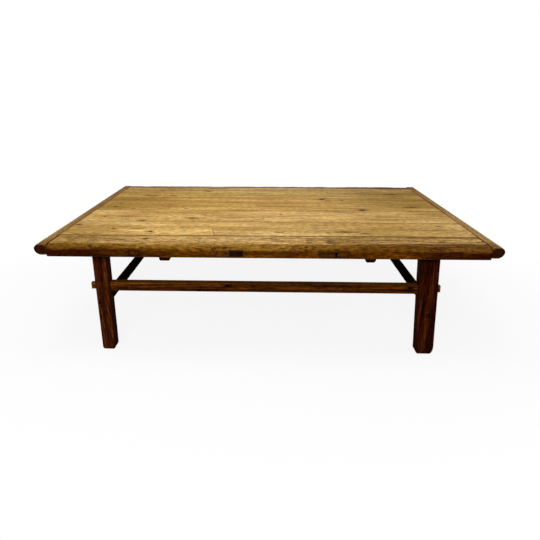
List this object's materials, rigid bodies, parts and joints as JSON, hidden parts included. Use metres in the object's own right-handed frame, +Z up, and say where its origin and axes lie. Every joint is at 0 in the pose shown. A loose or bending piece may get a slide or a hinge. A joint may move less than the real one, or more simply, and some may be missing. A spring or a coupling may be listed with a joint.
{
  "type": "kang table",
  "caption": "Low rectangular wooden kang table with a framed plank top, splayed legs and stretchers tenoned through the legs.",
  "frame": {"origin": "on the floor, under the middle of the top", "axes": "+X along the table, +Y to its back, +Z up from the floor"},
  "size_m": [1.5, 0.96, 0.4],
  "materials": {
    "plank_wood": "worn, waxed",
    "frame_wood": "worn, waxed, darker on the edge",
    "end_wood": "worn, waxed",
    "batten_wood": "rough, oiled",
    "leg_wood": "worn, stained dark",
    "stretcher_wood": "worn, stained dark"
  },
  "bodies": {
    "root": {"rail_front": "frame_wood", "rail_rear": "frame_wood", "end_board_left": "end_wood", "end_board_right": "end_wood", "plank_1": "plank_wood", "plank_2": "plank_wood", "plank_3": "plank_wood", "plank_4": "plank_wood", "batten_1": "batten_wood", "batten_2": "batten_wood", "batten_3": "batten_wood", "batten_4": "batten_wood", "leg_front_left": "leg_wood", "leg_front_right": "leg_wood", "leg_rear_left": "leg_wood", "leg_rear_right": "leg_wood", "stretcher_front": "stretcher_wood", "stretcher_rear": "stretcher_wood", "stretcher_left": "stretcher_wood", "stretcher_right": "stretcher_wood"}
  },
  "joints": []
}
